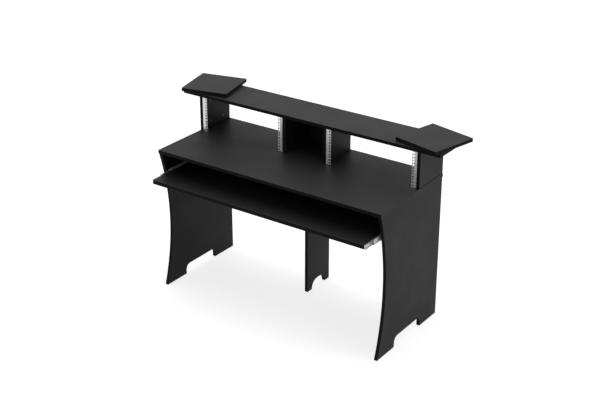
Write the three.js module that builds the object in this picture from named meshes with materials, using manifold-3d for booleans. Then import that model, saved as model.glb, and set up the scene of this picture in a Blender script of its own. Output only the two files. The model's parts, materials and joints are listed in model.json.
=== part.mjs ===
// Studio desk with two rack bays, a pull-out keyboard shelf and two swivelling speaker platforms.
// Millimetres, +Z up. X runs left to right as seen from the seat, and Y runs from the seat to the rear.
// The desk is laid out with its rear edges in the plane y = 0, so places in front of them are negative.
import * as THREE from 'three';
import Module from 'manifold-3d';

const wasm = await Module();
wasm.setup();

// Driving sizes. The desk's width is worked out from the rack bays and the cubby between them.
const deskDepth = 555;
const deskHeight = 764;
const boardThickness = 18;
const desktopOverhangRear = 5;

// Clearances, and the distance below which two points of an outline count as one
const seam = 0.3;
const cutOverrun = 5;
const samePoint = 0.01;

// Side panels: a concave front edge, and a notch between a front and a rear foot. The foot, the waist and
// the top of the edge are set back from the desktop's front edge.
const footSetback = 1;
const waistSetback = 62;
const panelTopSetback = 3;
const waistHeight = 365;
const frontFootLength = 154;
const rearFootLength = 158;
const footNotchHeight = 55;
const footNotchRadius = 30;

// Middle leg: a narrow panel under the rear of the desk, with an arch between two small feet
const legDepth = 198;
const legFootLength = 40;
const legArchHeight = 51;
const legArchRadius = 50;

// Rear panels under the desktop, which keep the desk square
const rearPanelHeight = 300;

// Round glides under the feet
const glideHeight = 2;
const glideRadius = 7.5;
const glideInset = 25;

// Cam fittings that hold the desktop down on the side panels
const camRadius = 7.5;
const camHeight = 12.5;
const camFromEdge = 34;
const camInsetFront = 60;
const camInsetRear = 60;
const camSlotWidth = 2;
const camSlotLength = 9;
const camSlotDepth = 3;
const camBoltRadius = 3;
const camBoltHeadRadius = 3.8;
const camBoltHeadLength = 3;
const camBoltAnchor = 11;

// Rack carcass on top of the desk: two bays with a cubby between them
const rackUnitsHigh = 4;
const bayPlay = 4.2;
const cubbyWidth = 224;
const carcassDepth = 221;

// Rack rails for equipment 19 inches wide. The holes of a rack unit are one pitch apart, and the last
// one of a unit is the narrow pitch from the first one of the next.
const rackOpening = 451;
const rackHolePitch = 15.875;
const rackHoleNarrowPitch = 12.7;
const rackHoleSize = 9.5;
const rackHoleFromEdge = 7.05;
const railFaceWidth = 26.2;
const railSheet = 2;
const railSideDepth = 22;
const railSetback = 1;

// Monitor shelf
const shelfOverhangSide = 103;
const shelfOverhangFront = 3;
const shelfOverhangRear = 2;

// Speaker platforms
const platformSize = 254;
const platformCornerRadius = 3;
const platformToeInDegrees = 13.5;
const pivotFromShelfEnd = 55;
const pivotOffset = 50;
const pivotWasherThickness = 1;
const pivotWasherRadius = 30;
const pivotBoltRadius = 4;
const pivotBoltFlangeRadius = 9;
const pivotBoltFlangeThickness = 1.5;
const pivotBoltHeadAcrossFlats = 13;
const pivotBoltHeadHeight = 5;
const pivotInsertRadius = 6;
const pivotInsertLength = 13;
const pivotBoltShortOfInsert = 2;
const padRadius = 14;
const padOffsetSide = 85;
const padOffsetFront = 60;

// Keyboard shelf and its travel: it is shown part of the way out
const keyboardShelfThickness = 22;
const keyboardClearHeight = 107;
const keyboardShelfDepth = 300;
const keyboardShelfLegGap = 8;
const drawnOut = 134;

// Ball-bearing slides between the keyboard shelf and the side panels
const slideLength = 300;
const slideBelowShelfTop = 10.5;
const slideSheet = 1.2;
const slideFixedHeight = 35;
const slideFixedDepth = 9;
const slideMiddleDepth = 8.4;
const slideMiddleWebGap = 2;
const slideShelfWebGap = 0.6;
const slideRunningGap = 0.3;

// Ball cages inside the slides
const cageLength = 120;
const cageWebGap = 0.5;
const cageSheet = 0.8;
const cageRailThickness = 1.3;
const cageFlangeGap = 0.5;

// Facets on round shapes
const circleSides = 32;
const smallCircleSides = 20;
const hexagonSides = 6;
const arcDivisions = 10;
const cornerDivisions = 3;
const frontEdgeDivisions = 20;

// Places worked out from the sizes above
const footDepth = deskDepth - footSetback;
const waistDepth = deskDepth - waistSetback;
const panelTopDepth = deskDepth - panelTopSetback;
const rackUnit = 2 * rackHolePitch + rackHoleNarrowPitch;
const bayHeight = rackUnitsHigh * rackUnit + bayPlay;
const bayWidth = rackOpening + 2 * (railFaceWidth + seam);
const dividerCubbyX = cubbyWidth / 2;
const dividerBayX = dividerCubbyX + boardThickness;
const innerX = dividerBayX + bayWidth;
const outerX = innerX + boardThickness;
const panelBottom = glideHeight + seam;
const desktopUnderside = deskHeight - boardThickness;
const panelTop = desktopUnderside - seam;
const shelfUnderside = deskHeight + bayHeight;
const shelfTop = shelfUnderside + boardThickness;
const shelfEndX = outerX + shelfOverhangSide;
const shelfFrontY = -carcassDepth - shelfOverhangFront;
const legHalf = boardThickness / 2;
const sides = [['left', -1], ['right', 1]];

// Materials
const melamine = (colour = 0x1d1d1f) =>
  new THREE.MeshStandardMaterial({ color: colour, roughness: 0.55, metalness: 0 });
const zincPlate = () => new THREE.MeshStandardMaterial({ color: 0xd4d6d8, roughness: 0.32, metalness: 1 });
const dieCast = () => new THREE.MeshStandardMaterial({ color: 0xa4a7aa, roughness: 0.45, metalness: 1 });
const blackPlastic = () => new THREE.MeshStandardMaterial({ color: 0x242426, roughness: 0.6, metalness: 0 });
const whiteNylon = () => new THREE.MeshStandardMaterial({ color: 0xe4e2da, roughness: 0.5, metalness: 0 });
const greyFelt = () => new THREE.MeshStandardMaterial({ color: 0x3c3d40, roughness: 0.95, metalness: 0 });

const desk = new THREE.Group();

// Name a mesh, put its origin at its middle and place it in its group.
function addPiece(name, geometry, material, parent = desk) {
  geometry.computeBoundingBox();
  const middle = geometry.boundingBox.getCenter(new THREE.Vector3());
  geometry.translate(-middle.x, -middle.y, -middle.z);
  const mesh = new THREE.Mesh(geometry, material);
  mesh.name = name;
  mesh.position.copy(middle);
  parent.add(mesh);
  return mesh;
}

// A box given by where it starts and ends along each axis
function spanBox([x0, x1], [y0, y1], [z0, z1]) {
  const geometry = new THREE.BoxGeometry(Math.abs(x1 - x0), Math.abs(y1 - y0), Math.abs(z1 - z0));
  return geometry.translate((x0 + x1) / 2, (y0 + y1) / 2, (z0 + z1) / 2);
}

// The points of an outline, with those that fall on the one before them left out
function distinctPoints(points) {
  return points.filter((point, i) => point.distanceTo(points.at(i - 1)) > samePoint);
}

function extruded(shape, depth, divisions) {
  const drawn = shape.extractPoints(divisions);
  const outline = new THREE.Shape(distinctPoints(drawn.shape));
  outline.holes = drawn.holes.map((hole) => new THREE.Path(distinctPoints(hole)));
  return new THREE.ExtrudeGeometry(outline, { depth, bevelEnabled: false });
}

// An outline drawn in Y and Z, made solid from x = from to x = to
function extrudeAlongX(shape, from, to) {
  const low = Math.min(from, to);
  const geometry = extruded(shape, Math.abs(to - from), arcDivisions);
  const turn = new THREE.Matrix4().makeBasis(
    new THREE.Vector3(0, 1, 0),
    new THREE.Vector3(0, 0, 1),
    new THREE.Vector3(1, 0, 0),
  );
  return geometry.applyMatrix4(turn).translate(low, 0, 0);
}

// An outline drawn in X and Z, made solid from y = front to y = rear
function extrudeAlongY(shape, front, rear) {
  const geometry = extruded(shape, rear - front, arcDivisions);
  const turn = new THREE.Matrix4().makeBasis(
    new THREE.Vector3(1, 0, 0),
    new THREE.Vector3(0, 0, 1),
    new THREE.Vector3(0, -1, 0),
  );
  return geometry.applyMatrix4(turn).translate(0, rear, 0);
}

// A cylinder on a line along Z or along X
function uprightCylinder(radius, x, y, [z0, z1], faces = circleSides) {
  const geometry = new THREE.CylinderGeometry(radius, radius, z1 - z0, faces);
  return geometry.rotateX(Math.PI / 2).translate(x, y, (z0 + z1) / 2);
}

function levelCylinder(radius, [x0, x1], y, z, faces = smallCircleSides) {
  const geometry = new THREE.CylinderGeometry(radius, radius, Math.abs(x1 - x0), faces);
  return geometry.rotateZ(Math.PI / 2).translate((x0 + x1) / 2, y, z);
}

// A ring or stepped round piece about a vertical line, from [radius, height] points that close
function turned(profile, x, y, faces = circleSides) {
  const points = profile.map(([radius, height]) => new THREE.Vector2(radius, height));
  points.push(points[0].clone());
  return new THREE.LatheGeometry(points, faces).rotateX(Math.PI / 2).translate(x, y, 0);
}

// Meshes have separate corners for each face, so the corners are welded before a solid is made.
function toSolid(geometry) {
  const { position } = geometry.attributes;
  const corners = geometry.index ? geometry.index.array : [...Array(position.count).keys()];
  const mesh = new wasm.Mesh({
    numProp: 3,
    vertProperties: Float32Array.from(position.array),
    triVerts: Uint32Array.from(corners),
  });
  mesh.merge();
  return new wasm.Manifold(mesh);
}

function toGeometry(solid) {
  const mesh = solid.getMesh();
  const geometry = new THREE.BufferGeometry();
  geometry.setAttribute('position', new THREE.BufferAttribute(Float32Array.from(mesh.vertProperties), 3));
  geometry.setIndex(new THREE.BufferAttribute(Uint32Array.from(mesh.triVerts), 1));
  return geometry;
}

function cut(body, tools) {
  return toGeometry(tools.reduce((solid, tool) => solid.subtract(toSolid(tool)), toSolid(body)));
}

function join(body, extras) {
  return toGeometry(extras.reduce((solid, extra) => solid.add(toSolid(extra)), toSolid(body)));
}

// The notch or arch between two feet, added to an outline that arrives at the rear foot's inner corner
function drawFootNotch(shape, rearY, frontY, top, radius) {
  const rise = Math.min(radius, top - panelBottom, (rearY - frontY) / 2);
  shape.lineTo(rearY, top - rise);
  shape.absarc(rearY - rise, top - rise, rise, 0, Math.PI / 2, false);
  shape.lineTo(frontY + rise, top);
  shape.absarc(frontY + rise, top - rise, rise, Math.PI / 2, Math.PI, false);
  shape.lineTo(frontY, panelBottom);
}

// The front edge is two parabolas that meet at the waist, one down to the foot and one up to the desktop.
function sidePanelOutline() {
  const frontEdge = Array.from({ length: frontEdgeDivisions + 1 }, (_, i) => {
    const height = panelBottom + (panelTop - panelBottom) * (i / frontEdgeDivisions);
    const aboveWaist = height > waistHeight;
    const span = aboveWaist ? panelTop - waistHeight : waistHeight;
    const rise = (aboveWaist ? panelTopDepth : footDepth) - waistDepth;
    return new THREE.Vector2(-waistDepth - rise * ((height - waistHeight) / span) ** 2, height);
  });
  const shape = new THREE.Shape(frontEdge);
  shape.lineTo(0, panelTop);
  shape.lineTo(0, panelBottom);
  shape.lineTo(-rearFootLength, panelBottom);
  drawFootNotch(shape, -rearFootLength, frontFootLength - footDepth, footNotchHeight, footNotchRadius);
  shape.closePath();
  return shape;
}

// Two cams lie in the inner face of each side panel, below its top edge. Their bolts stand in the middle
// of the panel's thickness and reach up into the desktop.
const camZ = panelTop - camFromEdge;
const camPlaces = [['front', camInsetFront - panelTopDepth], ['rear', -camInsetRear]];
const camBoltTop = desktopUnderside + camBoltAnchor;

function camBoltX(sign) {
  return (sign * (innerX + outerX)) / 2;
}

function addSidePanels() {
  for (const [side, sign] of sides) {
    const body = extrudeAlongX(sidePanelOutline(), sign * innerX, sign * outerX);
    const camSpan = [sign * (innerX - cutOverrun), sign * (innerX + camHeight + seam)];
    const boltSpan = [camZ, panelTop + cutOverrun];
    const holes = camPlaces.flatMap(([, y]) => [
      levelCylinder(camRadius + seam, camSpan, y, camZ),
      uprightCylinder(camBoltHeadRadius + seam, camBoltX(sign), y, boltSpan, smallCircleSides),
    ]);
    addPiece(`side_panel_${side}`, cut(body, holes), melamine());
  }
}

function addMiddleLeg() {
  const shape = new THREE.Shape();
  shape.moveTo(-legDepth, panelBottom);
  shape.lineTo(-legDepth, desktopUnderside - seam);
  shape.lineTo(0, desktopUnderside - seam);
  shape.lineTo(0, panelBottom);
  shape.lineTo(-legFootLength, panelBottom);
  drawFootNotch(shape, -legFootLength, legFootLength - legDepth, legArchHeight, legArchRadius);
  shape.closePath();
  addPiece('middle_leg', extrudeAlongX(shape, -legHalf, legHalf), melamine());
}

function addGlides() {
  const panelFeet = [
    ['front_foot_front', glideInset - footDepth],
    ['front_foot_rear', frontFootLength - footDepth - glideInset],
    ['rear_foot_front', glideInset - rearFootLength],
    ['rear_foot_rear', -glideInset],
  ];
  const panelX = (innerX + outerX) / 2;
  for (const [side, sign] of sides) {
    for (const [place, y] of panelFeet) {
      const glide = uprightCylinder(glideRadius, sign * panelX, y, [0, glideHeight]);
      addPiece(`glide_${side}_${place}`, glide, blackPlastic());
    }
  }
  const legFeet = [['front', legFootLength / 2 - legDepth], ['rear', -legFootLength / 2]];
  for (const [place, y] of legFeet) {
    const glide = uprightCylinder(glideRadius, 0, y, [0, glideHeight]);
    addPiece(`glide_middle_leg_${place}`, glide, blackPlastic());
  }
}

function addDesktop() {
  const body = spanBox([-outerX, outerX], [-deskDepth, desktopOverhangRear], [desktopUnderside, deskHeight]);
  const anchorHoles = [];
  for (const [, sign] of sides) {
    for (const [, y] of camPlaces) {
      const holeSpan = [desktopUnderside - cutOverrun, camBoltTop + seam];
      anchorHoles.push(uprightCylinder(camBoltRadius + seam, camBoltX(sign), y, holeSpan, smallCircleSides));
    }
  }
  addPiece('desktop', cut(body, anchorHoles), melamine());
}

// A cam is a short drum with a cross for the driver and a side mouth that takes the bolt's head.
function addCamFittings() {
  for (const [side, sign] of sides) {
    const boltX = camBoltX(sign);
    for (const [place, y] of camPlaces) {
      const drumSpan = [sign * innerX, sign * (innerX + camHeight)];
      const drum = levelCylinder(camRadius, drumSpan, y, camZ, circleSides);
      const mouth = uprightCylinder(
        camBoltHeadRadius + seam,
        boltX,
        y,
        [camZ - seam, camZ + camRadius + cutOverrun],
        smallCircleSides,
      );
      const slotDepth = [sign * (innerX - cutOverrun), sign * (innerX + camSlotDepth)];
      const long = camSlotLength / 2;
      const wide = camSlotWidth / 2;
      const slots = [
        spanBox(slotDepth, [y - long, y + long], [camZ - wide, camZ + wide]),
        spanBox(slotDepth, [y - wide, y + wide], [camZ - long, camZ + long]),
      ];
      addPiece(`cam_${side}_${place}`, cut(drum, [mouth, ...slots]), dieCast());

      const headSpan = [camZ, camZ + camBoltHeadLength];
      const shank = uprightCylinder(camBoltRadius, boltX, y, [camZ, camBoltTop], smallCircleSides);
      const head = uprightCylinder(camBoltHeadRadius, boltX, y, headSpan, smallCircleSides);
      addPiece(`cam_bolt_${side}_${place}`, join(shank, [head]), zincPlate());
    }
  }
}

function addRearPanels() {
  const zSpan = [desktopUnderside - rearPanelHeight, desktopUnderside - seam];
  for (const [side, sign] of sides) {
    const xSpan = [sign * (legHalf + seam), sign * (innerX - seam)];
    addPiece(`rear_panel_${side}`, spanBox(xSpan, [-boardThickness, 0], zSpan), melamine());
  }
}

function addRackCarcass() {
  const zSpan = [deskHeight + seam, shelfUnderside - seam];
  const ySpan = [-carcassDepth, 0];
  for (const [side, sign] of sides) {
    addPiece(`rack_side_${side}`, spanBox([sign * innerX, sign * outerX], ySpan, zSpan), melamine());
    const dividerSpan = [sign * dividerCubbyX, sign * dividerBayX];
    addPiece(`rack_divider_${side}`, spanBox(dividerSpan, ySpan, zSpan), melamine());
  }
  const backX = dividerCubbyX - seam;
  addPiece('cubby_back', spanBox([-backX, backX], [-boardThickness, 0], zSpan), melamine());
}

// A rail is a steel angle: a front face with square holes, and a side face screwed to the wall.
function rackRail(wallX, inward) {
  const backX = wallX + inward * seam;
  const frontEdgeX = backX + inward * railFaceWidth;
  const bottom = deskHeight + seam;
  const top = shelfUnderside - seam;
  const frontY = -carcassDepth + railSetback;
  const face = new THREE.Shape();
  face.moveTo(backX, bottom);
  face.lineTo(frontEdgeX, bottom);
  face.lineTo(frontEdgeX, top);
  face.lineTo(backX, top);
  face.closePath();
  const holeX = frontEdgeX - inward * rackHoleFromEdge;
  const half = rackHoleSize / 2;
  const firstUnitZ = deskHeight + bayPlay / 2;
  for (let unit = 0; unit < rackUnitsHigh; unit += 1) {
    for (const step of [-1, 0, 1]) {
      const holeZ = firstUnitZ + (unit + 0.5) * rackUnit + step * rackHolePitch;
      const hole = new THREE.Path();
      hole.moveTo(holeX - half, holeZ - half);
      hole.lineTo(holeX + half, holeZ - half);
      hole.lineTo(holeX + half, holeZ + half);
      hole.lineTo(holeX - half, holeZ + half);
      hole.closePath();
      face.holes.push(hole);
    }
  }
  const front = extrudeAlongY(face, frontY, frontY + railSheet);
  const side = spanBox([backX, backX + inward * railSheet], [frontY, frontY + railSideDepth], [bottom, top]);
  return join(front, [side]);
}

function addRackRails() {
  for (const [side, sign] of sides) {
    addPiece(`rack_rail_${side}_outer`, rackRail(sign * innerX, -sign), zincPlate());
    addPiece(`rack_rail_${side}_inner`, rackRail(sign * dividerBayX, sign), zincPlate());
  }
}

const pivotX = shelfEndX - pivotFromShelfEnd;
const pivotY = (shelfFrontY + shelfOverhangRear) / 2;
const platformUnderside = shelfTop + pivotWasherThickness + 2 * seam;

function addMonitorShelf() {
  const body = spanBox([-shelfEndX, shelfEndX], [shelfFrontY, shelfOverhangRear], [shelfUnderside, shelfTop]);
  const through = [shelfUnderside - cutOverrun, shelfTop + cutOverrun];
  const bores = sides.map(([, sign]) =>
    uprightCylinder(pivotBoltRadius + seam, sign * pivotX, pivotY, through));
  addPiece('monitor_shelf', cut(body, bores), melamine());
}

function platformBoard(middleX) {
  const half = platformSize / 2;
  const radius = platformCornerRadius;
  const shape = new THREE.Shape();
  shape.absarc(middleX + half - radius, radius - half, radius, -Math.PI / 2, 0, false);
  shape.absarc(middleX + half - radius, half - radius, radius, 0, Math.PI / 2, false);
  shape.absarc(middleX + radius - half, half - radius, radius, Math.PI / 2, Math.PI, false);
  shape.absarc(middleX + radius - half, radius - half, radius, Math.PI, -Math.PI / 2, false);
  shape.closePath();
  return extruded(shape, boardThickness, cornerDivisions).translate(0, 0, platformUnderside);
}

// Each platform turns on a flanged bolt that comes up through the shelf into a threaded insert.
// Its turned group has its origin on the pivot line, so the pivot stays put when the toe-in changes.
function addSpeakerPlatforms() {
  for (const [side, sign] of sides) {
    const swivel = new THREE.Group();
    swivel.position.set(sign * pivotX, pivotY, 0);
    swivel.rotation.z = THREE.MathUtils.degToRad(-sign * platformToeInDegrees);
    desk.add(swivel);

    const middleX = -sign * pivotOffset;
    const insertTop = platformUnderside + pivotInsertLength;
    const insertHole = uprightCylinder(
      pivotInsertRadius + seam,
      0,
      0,
      [platformUnderside - cutOverrun, insertTop + seam],
    );
    addPiece(`speaker_platform_${side}`, cut(platformBoard(middleX), [insertHole]), melamine(), swivel);

    const insert = turned([
      [pivotBoltRadius + seam, platformUnderside],
      [pivotInsertRadius, platformUnderside],
      [pivotInsertRadius, insertTop],
      [pivotBoltRadius + seam, insertTop],
    ], 0, 0);
    addPiece(`pivot_insert_${side}`, insert, dieCast(), swivel);

    const flangeTop = shelfUnderside - seam;
    const flangeBottom = flangeTop - pivotBoltFlangeThickness;
    const shank = uprightCylinder(pivotBoltRadius, 0, 0, [flangeTop, insertTop - pivotBoltShortOfInsert]);
    const flange = uprightCylinder(pivotBoltFlangeRadius, 0, 0, [flangeBottom, flangeTop]);
    const headRadius = pivotBoltHeadAcrossFlats / 2 / Math.cos(Math.PI / hexagonSides);
    const headSpan = [flangeBottom - pivotBoltHeadHeight, flangeBottom];
    const head = uprightCylinder(headRadius, 0, 0, headSpan, hexagonSides);
    addPiece(`pivot_bolt_${side}`, join(shank, [flange, head]), zincPlate(), swivel);

    for (const [place, y] of [['front', -padOffsetFront], ['rear', padOffsetFront]]) {
      const x = middleX - sign * padOffsetSide;
      const pad = uprightCylinder(padRadius, x, y, [shelfTop + seam, platformUnderside - seam]);
      addPiece(`platform_pad_${side}_${place}`, pad, greyFelt(), swivel);
    }

    const washer = turned([
      [pivotBoltRadius + seam, shelfTop + seam],
      [pivotWasherRadius, shelfTop + seam],
      [pivotWasherRadius, shelfTop + seam + pivotWasherThickness],
      [pivotBoltRadius + seam, shelfTop + seam + pivotWasherThickness],
    ], sign * pivotX, pivotY);
    addPiece(`pivot_washer_${side}`, washer, whiteNylon());
  }
}

// Distances from the side panel's inner face across a slide, and the heights of its channels. Each
// channel is lower than the one round it by its sheet and a ball cage with its gaps, above and below.
const slideFixedReach = seam + slideFixedDepth;
const slideMiddleStart = seam + slideSheet + slideMiddleWebGap;
const slideMiddleReach = slideMiddleStart + slideMiddleDepth;
const slideShelfStart = slideMiddleStart + slideSheet + cageWebGap + cageSheet;
const slideShelfReach = slideMiddleReach + slideShelfWebGap + slideSheet;
const slideStep = slideSheet + 2 * cageFlangeGap + cageRailThickness;
const slideMiddleHeight = slideFixedHeight - 2 * slideStep;
const slideShelfHeight = slideMiddleHeight - 2 * slideStep;

const keyboardShelfTop = desktopUnderside - keyboardClearHeight;
const keyboardShelfX = innerX - slideShelfReach - seam;
const keyboardShelfRear = legDepth + keyboardShelfLegGap;
const slideZ = keyboardShelfTop - slideBelowShelfTop;

function addKeyboardShelf() {
  const rear = -keyboardShelfRear - drawnOut;
  addPiece('keyboard_shelf', spanBox(
    [-keyboardShelfX, keyboardShelfX],
    [rear - keyboardShelfDepth, rear],
    [keyboardShelfTop - keyboardShelfThickness, keyboardShelfTop],
  ), melamine());
}

// A channel section of folded sheet, drawn between its web and its open edge. Both are distances from
// the side panel's inner face. The lips, where it has them, are folded in as far as lipHalf.
function channelSection(sign, web, openEdge, halfHeight, sheet, lipHalf = halfHeight - sheet) {
  const into = Math.sign(openEdge - web);
  const webInside = web + into * sheet;
  const lipInside = openEdge - into * sheet;
  const inside = halfHeight - sheet;
  const lower = [[web, -halfHeight], [openEdge, -halfHeight]];
  if (lipHalf < inside) lower.push([openEdge, -lipHalf], [lipInside, -lipHalf], [lipInside, -inside]);
  else lower.push([openEdge, -inside]);
  lower.push([webInside, -inside]);
  const upper = lower.map(([u, v]) => [u, -v]).reverse();
  const outline = [...lower, ...upper].map(([u, v]) => new THREE.Vector2(sign * (innerX - u), slideZ + v));
  return new THREE.Shape(outline);
}

// Each slide has three nested channels: one on the side panel, one that moves half as far as the
// keyboard shelf, and one on the shelf's edge. The middle channel moves half as far as the shelf.
function addSlides() {
  const rear = -keyboardShelfRear;
  const fixedHalf = slideFixedHeight / 2;
  const middleHalf = slideMiddleHeight / 2;
  const shelfHalf = slideShelfHeight / 2;
  for (const [side, sign] of sides) {
    const fixed = channelSection(
      sign, seam, slideFixedReach, fixedHalf, slideSheet, middleHalf + slideRunningGap);
    addPiece(`slide_fixed_${side}`, extrudeAlongY(fixed, rear - slideLength, rear), zincPlate());

    const middle = channelSection(
      sign, slideMiddleStart, slideMiddleReach, middleHalf, slideSheet, shelfHalf + slideRunningGap);
    const middleRear = rear - drawnOut / 2;
    const middleFront = middleRear - slideLength;
    addPiece(`slide_middle_${side}`, extrudeAlongY(middle, middleFront, middleRear), zincPlate());

    const inner = channelSection(sign, slideShelfReach, slideShelfStart, shelfHalf, slideSheet);
    const innerRear = rear - drawnOut;
    addPiece(`slide_shelf_${side}`, extrudeAlongY(inner, innerRear - slideLength, innerRear), zincPlate());
  }
}

// The ball cages run between the channels, each half as far as the channel that rolls on it.
function addBallCages() {
  const slideMiddleY = -keyboardShelfRear - slideLength / 2;
  const stages = [
    {
      name: 'outer',
      web: seam + slideSheet + cageWebGap,
      reach: slideFixedReach - slideSheet - cageWebGap,
      half: slideFixedHeight / 2 - slideSheet - cageFlangeGap,
      middleY: slideMiddleY - drawnOut / 4,
    },
    {
      name: 'inner',
      web: slideMiddleStart + slideSheet + cageWebGap / 2,
      reach: slideMiddleReach - slideSheet - cageWebGap,
      half: slideMiddleHeight / 2 - slideSheet - cageFlangeGap,
      middleY: slideMiddleY - (drawnOut * 3) / 4,
    },
  ];
  for (const [side, sign] of sides) {
    for (const { name, web, reach, half, middleY } of stages) {
      const front = middleY - cageLength / 2;
      const rear = middleY + cageLength / 2;
      const at = (u) => sign * (innerX - u);
      const strap = spanBox([at(web), at(web + cageSheet)], [front, rear], [slideZ - half, slideZ + half]);
      const rails = [-1, 1].map((up) => spanBox(
        [at(web), at(reach)],
        [front, rear],
        [slideZ + up * half, slideZ + up * (half - cageRailThickness)],
      ));
      addPiece(`ball_cage_${name}_${side}`, join(strap, rails), blackPlastic());
    }
  }
}

addSidePanels();
addMiddleLeg();
addGlides();
addDesktop();
addCamFittings();
addRearPanels();
addRackCarcass();
addRackRails();
addMonitorShelf();
addSpeakerPlatforms();
addKeyboardShelf();
addSlides();
addBallCages();

// The exported group has its origin at the middle of the desk's footprint, on the floor.
const group = new THREE.Group();
group.add(desk);
const bounds = new THREE.Box3().setFromObject(desk, true);
const footprint = bounds.getCenter(new THREE.Vector3());
desk.position.set(-footprint.x, -footprint.y, -bounds.min.z);

export default group;
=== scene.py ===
import json
from math import atan2, cos, degrees, hypot, pi, radians

import bmesh
import bpy
from bpy.props import FloatProperty, FloatVectorProperty, IntProperty, PointerProperty
from mathutils import Matrix, Vector


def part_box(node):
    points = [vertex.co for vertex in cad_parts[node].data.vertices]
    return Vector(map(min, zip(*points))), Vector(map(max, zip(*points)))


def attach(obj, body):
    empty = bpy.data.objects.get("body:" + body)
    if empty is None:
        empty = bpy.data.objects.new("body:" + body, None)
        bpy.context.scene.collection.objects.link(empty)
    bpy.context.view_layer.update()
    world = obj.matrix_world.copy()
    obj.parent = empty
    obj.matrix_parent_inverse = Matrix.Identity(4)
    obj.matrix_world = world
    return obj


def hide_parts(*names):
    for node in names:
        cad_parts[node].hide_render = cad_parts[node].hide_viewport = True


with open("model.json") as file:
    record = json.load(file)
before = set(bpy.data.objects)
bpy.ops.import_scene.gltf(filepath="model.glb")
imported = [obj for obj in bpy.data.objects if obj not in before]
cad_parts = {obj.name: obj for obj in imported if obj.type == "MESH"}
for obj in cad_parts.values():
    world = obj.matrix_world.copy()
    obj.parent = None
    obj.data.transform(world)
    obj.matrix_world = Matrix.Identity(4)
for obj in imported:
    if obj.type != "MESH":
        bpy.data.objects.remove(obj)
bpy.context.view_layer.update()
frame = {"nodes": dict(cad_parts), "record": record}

bl_info = {
    "name": "Studio desk dressing",
    "version": (1, 0, 0),
    "blender": (4, 5, 0),
    "location": "View3D > Sidebar > Desk",
    "description": "Boards, slides, rack rails and fittings of a studio desk, round its packed solids",
    "category": "Object",
}

NODES = frame["nodes"]
RECORD = frame["record"]
SLOT_OF = {part["node"]: part["material_slot"] for part in RECORD["subparts"]}
BODY_OF = {node: body for body, nodes in RECORD["behaviour"]["bodies"].items() for node in nodes}
SIDES = (("left", -1), ("right", 1))
MM = 0.001

# Points closer than this are one point.
SAME_POINT = 0.001 * MM
# Faces that meet at less than this are one flat face.
FLAT_ANGLE = radians(0.4)
# Edges that turn more than this are corners of a board or folds of a sheet.
CORNER_ANGLE = radians(30)
# Edges sharper than this stay sharp. All others shade smoothly, and the large faces stay flat.
SHARP_ANGLE = radians(48)
# A face is square to an axis when its normal has more than this share along it.
SQUARE = 0.999

BOARD_NODES = (
    "side_panel_left", "side_panel_right", "middle_leg", "desktop", "rear_panel_left", "rear_panel_right",
    "rack_side_left", "rack_side_right", "rack_divider_left", "rack_divider_right", "cubby_back",
    "monitor_shelf", "keyboard_shelf", "speaker_platform_left", "speaker_platform_right",
)
# Boards held between others at both ends. Their solids stop 0.3 mm short of these neighbours.
BACK_BOARDS = ("rear_panel_left", "rear_panel_right", "cubby_back")
BACK_BOARD_REACH = 0.28 * MM
# The fittings that sit in holes of the boards
FITTING_BOXES = [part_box(name) for name in NODES if name.startswith(("cam_", "pivot_"))]
# Thickness of the sheet that the slides and the rack rails are folded from
SLIDE_SHEET = 1.2 * MM
RAIL_SHEET = 2 * MM

# The finishes of a board, in the order of its material slots
FACE, EDGE_BAND, ARRIS, JOINT_SHADOW = 0, 1, 2, 3

# The Mix node keeps its colour sockets at these places.
MIX_A, MIX_B, MIX_RESULT = 6, 7, 2


def linear(hex_colour):
    """Turn an sRGB hex colour into linear red, green, blue and an alpha of 1."""
    channels = [int(hex_colour[i:i + 2], 16) / 255 for i in (1, 3, 5)]
    return [c / 12.92 if c <= 0.04045 else ((c + 0.055) / 1.055) ** 2.4 for c in channels] + [1.0]


def colour(name, description, hex_colour):
    return FloatVectorProperty(
        name=name, description=description, subtype="COLOR", size=4, min=0, max=1,
        default=linear(hex_colour),
    )


def length(name, description, millimetres):
    return FloatProperty(
        name=name, description=description, subtype="DISTANCE", unit="LENGTH", min=0, precision=4,
        default=millimetres * MM,
    )


class BoardLooks(bpy.types.PropertyGroup):
    face: colour("Melamine", "Colour of the melamine faces", "#19191b")
    face_worn: colour("Handled melamine", "Colour where hands and sleeves rub the faces", "#1c1c1e")
    # The edge band's colour is partly its own darker tone and partly painted shade, which darkens the front
    # edges that face away from the lamps.
    edge_band_and_shade: colour("Edge band", "Colour of the plastic band glued to the edges", "#0d0d0e")
    # The scraped corner's paler colour is partly scraped plastic and partly a painted highlight along the board
    # edges.
    arris_and_highlight: colour("Scraped corner", "Colour of the scraped corner between face and edge band", "#2c2c2f")
    # The joint colour and height give painted shade: a dark band at the foot of each rack side in place of the
    # shadow in its joint with the desktop.
    seam_shadow: colour("Joint wax", "Colour of the wax in the joints between rack sides and desktop", "#050506")
    arris_radius: length("Corner radius", "Radius scraped on the corners of each board", 1.0)
    seam_shadow_height: length("Wax height", "Height of the line of wax at the foot of the rack sides", 3.5)


class MetalLooks(bpy.types.PropertyGroup):
    zinc: colour("Zinc plate", "Colour of the plated rails and screws", "#c9ccd0")
    zinc_blue: colour("Passivated zinc", "Colour of the bluish patches in the plating", "#b6bdc5")
    greased: colour("Greased zinc", "Colour of the slides under a thin film of grease", "#cdcfd1")
    greased_deep: colour("Thick grease", "Colour of the slides where the grease gathers", "#babbbb")
    galvanised: colour("Galvanised strip", "Colour of the slides' fixed channels", "#d9dcdf")
    cast: colour("Die-cast zinc", "Colour of the cams and inserts", "#9b9ea2")
    ball: colour("Bearing ball", "Colour of the polished balls", "#e2e4e6")
    fold_radius: length("Fold radius", "Rounding along the folds and cut edges of the sheet", 0.45)


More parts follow.
